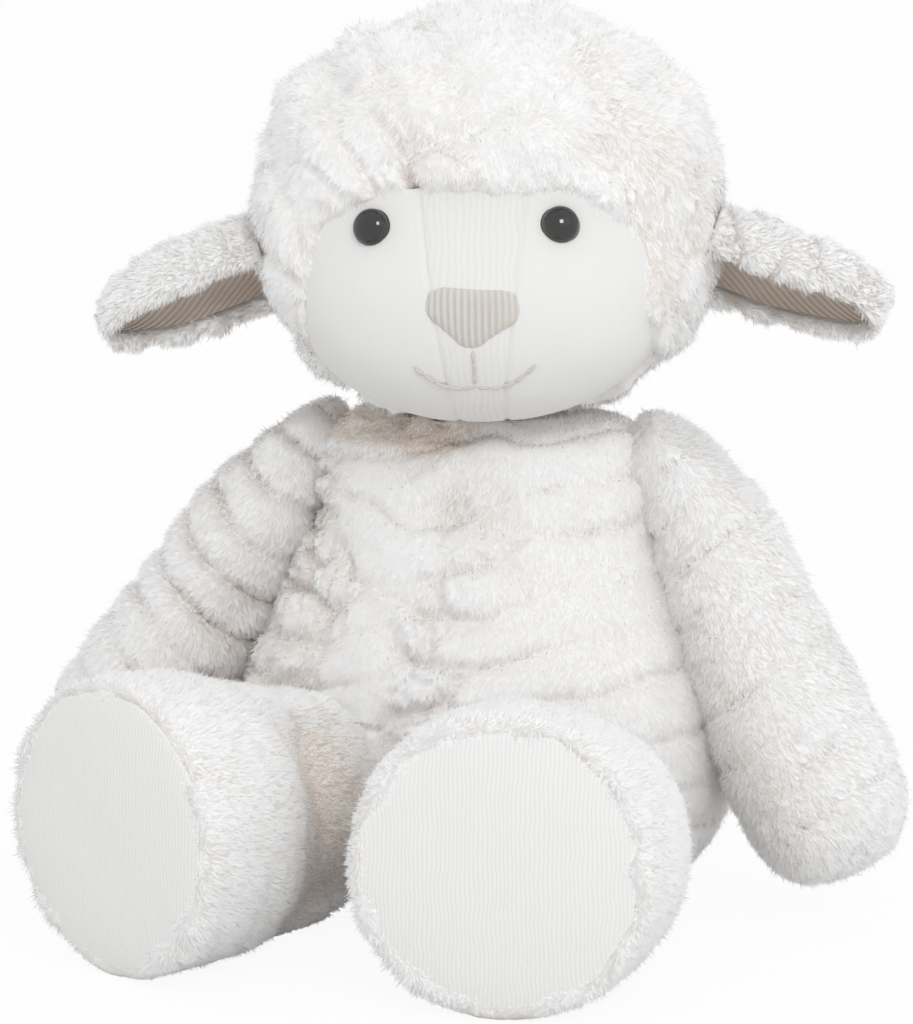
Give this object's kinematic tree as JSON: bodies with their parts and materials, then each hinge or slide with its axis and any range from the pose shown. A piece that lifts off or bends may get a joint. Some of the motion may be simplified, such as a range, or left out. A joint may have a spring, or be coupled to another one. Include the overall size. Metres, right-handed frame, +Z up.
{
  "type": "plush sheep",
  "caption": "Seated stuffed sheep with a woolly head, ribbed cloth face and soles, drooping lined ears, and a head, limbs, ears and tail that turn on sewn joints.",
  "frame": {"origin": "middle of the flat seat under the torso, on the surface that the toy sits on", "axes": "+Z up, the toy's chest and feet towards -Y, +X towards the toy's left arm"},
  "size_m": [0.3096, 0.2651, 0.2919],
  "materials": {
    "white_plush": "short crinkled pile",
    "white_wool": "curly pile in waves",
    "cream_ribbed_cloth": "fine ribbed knit",
    "beige_ribbed_cloth": "wide ribbed cloth",
    "polyester_fibre": "loose fibre filling",
    "pellet_bag_cloth": "woven bag of pellets",
    "thread": "spun thread",
    "black_plastic": "polished dark brown, nearly black",
    "washer_plastic": "moulded"
  },
  "bodies": {
    "torso": {"torso_cover": "white_plush", "torso_stuffing": "polyester_fibre", "pellet_bag": "pellet_bag_cloth", "leg_seam_left": "thread", "leg_seam_right": "thread", "tail_seam": "thread"},
    "neck": {"neck_seam": "thread"},
    "head": {"head_cover": "white_wool", "face_gusset": "cream_ribbed_cloth", "cheek_left": "cream_ribbed_cloth", "cheek_right": "cream_ribbed_cloth", "nose_patch": "beige_ribbed_cloth", "lip_stitch": "thread", "smile_stitch_left": "thread", "smile_stitch_right": "thread", "head_stuffing": "polyester_fibre", "eye_left": "black_plastic", "eye_right": "black_plastic", "eye_washer_left": "washer_plastic", "eye_washer_right": "washer_plastic", "ear_seam_left": "thread", "ear_seam_right": "thread"},
    "ear_left": {"ear_cover_left": "white_plush", "ear_lining_left": "beige_ribbed_cloth"},
    "ear_right": {"ear_cover_right": "white_plush", "ear_lining_right": "beige_ribbed_cloth"},
    "shoulder_left": {"arm_seam_left": "thread"},
    "shoulder_right": {"arm_seam_right": "thread"},
    "arm_left": {"arm_cover_left": "white_plush", "arm_stuffing_left": "polyester_fibre"},
    "arm_right": {"arm_cover_right": "white_plush", "arm_stuffing_right": "polyester_fibre"},
    "leg_left": {"leg_cover_left": "white_plush", "leg_stuffing_left": "polyester_fibre", "sole_left": "cream_ribbed_cloth"},
    "leg_right": {"leg_cover_right": "white_plush", "leg_stuffing_right": "polyester_fibre", "sole_right": "cream_ribbed_cloth"},
    "tail": {"tail_cover": "white_plush", "tail_stuffing": "polyester_fibre"}
  },
  "joints": [
    {"name": "head_turn", "type": "hinge", "parent": "torso", "child": "neck", "pos_m": [0, 0, 0.198], "axis": [0, 0, 1], "range_deg": [-35, 35]},
    {"name": "head_nod", "type": "hinge", "parent": "neck", "child": "head", "pos_m": [0, 0, 0.198], "axis": [0.9744, 0.225, 0], "range_deg": [-12, 4]},
    {"name": "arm_swing_left", "type": "hinge", "parent": "torso", "child": "shoulder_left", "pos_m": [0.0655, -0.001, 0.14596], "axis": [-0.9397, 0, -0.342], "range_deg": [-35, 40]},
    {"name": "arm_raise_left", "type": "hinge", "parent": "shoulder_left", "child": "arm_left", "pos_m": [0.0655, -0.001, 0.14596], "axis": [-0.0424, -0.9923, 0.1166], "range_deg": [0, 42]},
    {"name": "arm_swing_right", "type": "hinge", "parent": "torso", "child": "shoulder_right", "pos_m": [-0.0655, -0.001, 0.14596], "axis": [-0.9397, 0, 0.342], "range_deg": [-35, 40]},
    {"name": "arm_raise_right", "type": "hinge", "parent": "shoulder_right", "child": "arm_right", "pos_m": [-0.0655, -0.001, 0.14596], "axis": [-0.0424, 0.9923, -0.1166], "range_deg": [0, 42]},
    {"name": "leg_swing_left", "type": "hinge", "parent": "torso", "child": "leg_left", "pos_m": [0.043, -0.087, 0.039], "axis": [-1, 0, 0], "range_deg": [-45, 35]},
    {"name": "leg_swing_right", "type": "hinge", "parent": "torso", "child": "leg_right", "pos_m": [-0.043, -0.087, 0.039], "axis": [-1, 0, 0], "range_deg": [-45, 35]},
    {"name": "ear_flap_left", "type": "hinge", "parent": "head", "child": "ear_left", "pos_m": [0.08005, 0.01247, 0.20748], "axis": [0.225, -0.9744, 0], "range_deg": [-20, 25]},
    {"name": "ear_flap_right", "type": "hinge", "parent": "head", "child": "ear_right", "pos_m": [-0.07779, -0.02397, 0.20324], "axis": [-0.225, 0.9744, 0], "range_deg": [-20, 25]},
    {"name": "tail_lift", "type": "hinge", "parent": "torso", "child": "tail", "pos_m": [0, 0.06418, 0.06], "axis": [1, 0, 0], "range_deg": [-5, 35]}
  ]
}
